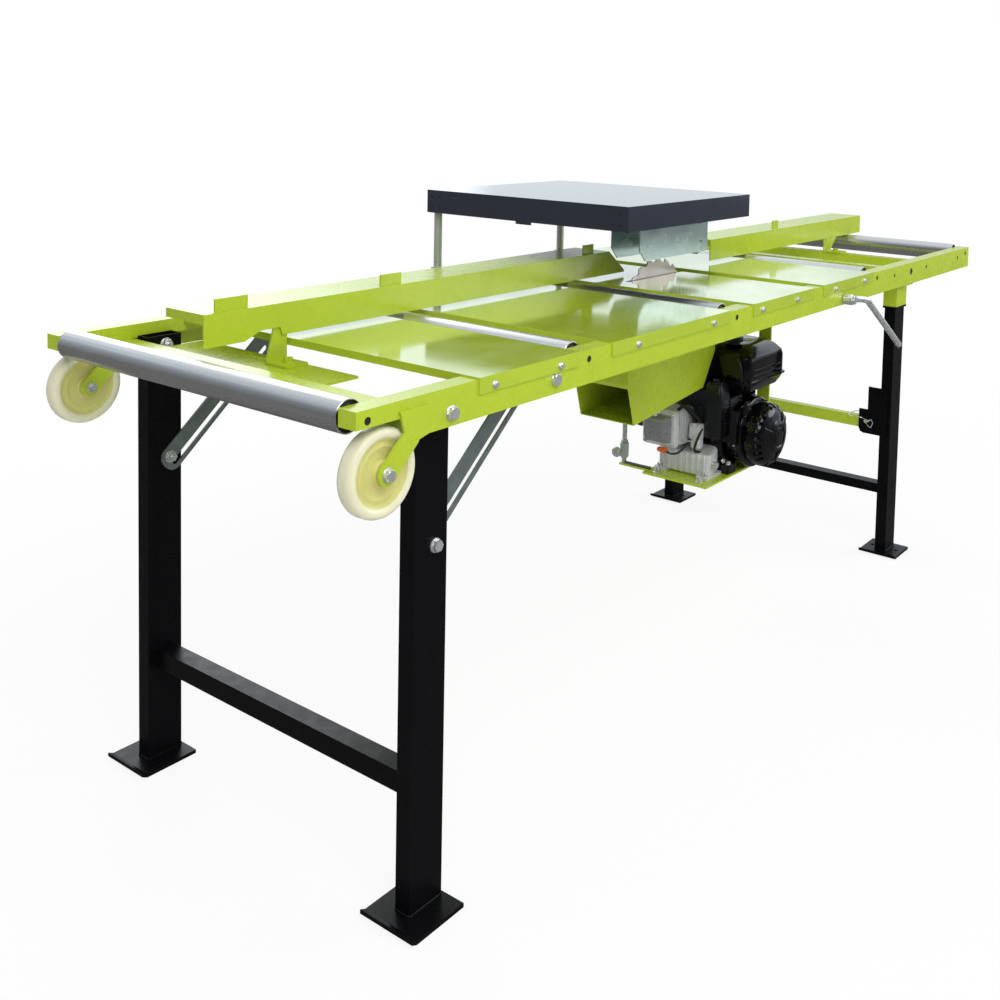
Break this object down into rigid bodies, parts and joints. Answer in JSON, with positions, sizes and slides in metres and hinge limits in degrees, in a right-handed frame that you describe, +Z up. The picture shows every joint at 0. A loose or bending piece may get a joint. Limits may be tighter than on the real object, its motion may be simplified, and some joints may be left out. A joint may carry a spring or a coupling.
{
  "type": "board edger",
  "caption": "Folding roller table with a petrol engine under it that drives a rip blade in a chute, with fences, a lifting guard hood, folding legs and caster wheels.",
  "frame": {"origin": "middle of the bounding box at floor level, under the feet", "axes": "+X along the table from the feed end with the casters to the rear, +Y from the near rail with the belt lever to the far rail with the guard's posts, +Z up"},
  "size_m": [3.005, 0.958, 1.182],
  "materials": {
    "green_paint": "gloss yellow-green powder coat",
    "black_paint": "gloss black powder coat",
    "galvanised": "dull galvanised sheet",
    "zinc": "bright zinc plate",
    "steel": "ground steel",
    "nylon": "cream nylon, slightly translucent",
    "rubber": "fabric-backed rubber",
    "cast": "painted casting",
    "alloy": "bead-blasted casting",
    "engine_black": "gloss black enamel",
    "engine_plastic": "textured black plastic"
  },
  "bodies": {
    "frame": {"near_rail": "green_paint", "far_rail": "green_paint", "front_cross_tube": "green_paint", "cross_members": "green_paint", "arbor_beam": "green_paint", "table_plate_1": "green_paint", "table_plate_2": "green_paint", "table_plate_3": "green_paint", "table_plate_4": "green_paint", "plate_screws": "zinc", "roller_axles": "zinc", "caster_forks": "green_paint", "pivot_bolts": "zinc", "rear_leg_sockets": "green_paint", "arbor_housing": "cast", "chute": "green_paint", "post_sockets": "zinc", "drive_belt": "rubber", "engine_block": "engine_black", "recoil_cover": "engine_black", "cylinder_head": "alloy", "valve_cover": "alloy", "air_filter_box": "engine_plastic", "fuel_tank": "engine_black", "muffler": "engine_black", "engine_platform": "green_paint"},
    "front_roller_body": {"front_roller": "steel"},
    "roller_1_body": {"roller_1": "steel"},
    "roller_2_body": {"roller_2": "steel"},
    "roller_3_body": {"roller_3": "steel"},
    "rear_roller_body": {"rear_roller": "steel"},
    "near_caster": {"near_caster_wheel": "nylon"},
    "far_caster": {"far_caster_wheel": "nylon"},
    "front_legs": {"near_front_leg": "black_paint", "far_front_leg": "black_paint", "front_leg_brace": "black_paint", "stay_bolts": "zinc"},
    "stays": {"near_stay": "galvanised", "far_stay": "galvanised", "stay_nuts": "zinc"},
    "rear_legs": {"near_rear_leg": "black_paint", "far_rear_leg": "black_paint", "rear_leg_brace": "black_paint", "tie_bar": "green_paint"},
    "clamp_bolts": {"socket_clamp_bolts": "zinc"},
    "front_fence_body": {"front_fence": "green_paint"},
    "rear_fence_body": {"rear_fence": "green_paint"},
    "arbor": {"saw_blade": "steel", "arbor_shaft": "steel", "blade_flanges": "steel", "arbor_pulley": "cast"},
    "crank": {"crankshaft": "steel"},
    "lever": {"tension_lever": "zinc", "idler_arm": "black_paint"},
    "idler": {"idler_pulley": "cast"},
    "guard": {"hood": "black_paint", "hood_posts": "zinc", "guard_plates": "zinc"},
    "fingers": {"kickback_fingers": "zinc"},
    "cap": {"fuel_cap": "engine_plastic"}
  },
  "joints": [
    {"name": "front_roller_spin", "type": "hinge", "parent": "frame", "child": "front_roller_body", "pos_m": [-1.4675, 0.0185, 0.926], "axis": [0, 1, 0], "continuous": true},
    {"name": "roller_1_spin", "type": "hinge", "parent": "frame", "child": "roller_1_body", "pos_m": [-0.8785, 0.0185, 0.926], "axis": [0, 1, 0], "continuous": true},
    {"name": "roller_2_spin", "type": "hinge", "parent": "frame", "child": "roller_2_body", "pos_m": [-0.2765, 0.0185, 0.926], "axis": [0, 1, 0], "continuous": true},
    {"name": "roller_3_spin", "type": "hinge", "parent": "frame", "child": "roller_3_body", "pos_m": [0.5905, 0.0185, 0.926], "axis": [0, 1, 0], "continuous": true},
    {"name": "rear_roller_spin", "type": "hinge", "parent": "frame", "child": "rear_roller_body", "pos_m": [1.4005, 0.0185, 0.926], "axis": [0, 1, 0], "continuous": true},
    {"name": "near_caster_spin", "type": "hinge", "parent": "frame", "child": "near_caster", "pos_m": [-1.4275, -0.4065, 0.831], "axis": [0, 1, 0], "continuous": true},
    {"name": "far_caster_spin", "type": "hinge", "parent": "frame", "child": "far_caster", "pos_m": [-1.4275, 0.4435, 0.831], "axis": [0, 1, 0], "continuous": true},
    {"name": "front_legs_fold", "type": "hinge", "parent": "frame", "child": "front_legs", "pos_m": [-1.2755, 0.0185, 0.9], "axis": [0, -1, 0], "range_deg": [0, 78]},
    {"name": "stays_swing", "type": "hinge", "parent": "frame", "child": "stays", "pos_m": [-0.9875, 0.0185, 0.905], "axis": [0, -1, 0], "range_deg": [0, 2.4]},
    {"name": "rear_legs_height", "type": "slide", "parent": "frame", "child": "rear_legs", "axis": [0, 0, -1], "range_m": [0, 0.045]},
    {"name": "clamp_bolts_screw", "type": "slide", "parent": "frame", "child": "clamp_bolts", "axis": [1, 0, 0], "range_m": [0, 0.006]},
    {"name": "front_fence_shift", "type": "slide", "parent": "frame", "child": "front_fence_body", "axis": [0, 1, 0], "range_m": [0, 0.12]},
    {"name": "rear_fence_shift", "type": "slide", "parent": "frame", "child": "rear_fence_body", "axis": [0, 1, 0], "range_m": [0, 0.12]},
    {"name": "arbor_spin", "type": "hinge", "parent": "frame", "child": "arbor", "pos_m": [0.0175, 0.0735, 0.8215], "axis": [0, 1, 0], "continuous": true},
    {"name": "crank_spin", "type": "hinge", "parent": "frame", "child": "crank", "pos_m": [0.3075, 0.0735, 0.475], "axis": [0, 1, 0], "continuous": true},
    {"name": "lever_swing", "type": "hinge", "parent": "frame", "child": "lever", "pos_m": [0.3505, -0.1265, 0.893], "axis": [0, -1, 0], "range_deg": [0, 30]},
    {"name": "idler_spin", "type": "hinge", "parent": "lever", "child": "idler", "pos_m": [0.22531, 0.1955, 0.70081], "axis": [0, 1, 0], "continuous": true},
    {"name": "guard_height", "type": "slide", "parent": "frame", "child": "guard", "axis": [0, 0, 1], "range_m": [0, 0.06]},
    {"name": "fingers_swing", "type": "hinge", "parent": "guard", "child": "fingers", "pos_m": [0.1855, -0.0065, 1.037], "axis": [0, -1, 0], "range_deg": [0, 60]},
    {"name": "fuel_cap_turn", "type": "hinge", "parent": "frame", "child": "cap", "pos_m": [0.2645, -0.1265, 0.735], "axis": [0, 0, 1], "range_deg": [0, 90]}
  ],
  "couplings": [
    {"joint": "stays_swing", "follows": "front_legs_fold", "ratio": 0.03},
    {"joint": "crank_spin", "follows": "arbor_spin", "ratio": 0.8996}
  ]
}
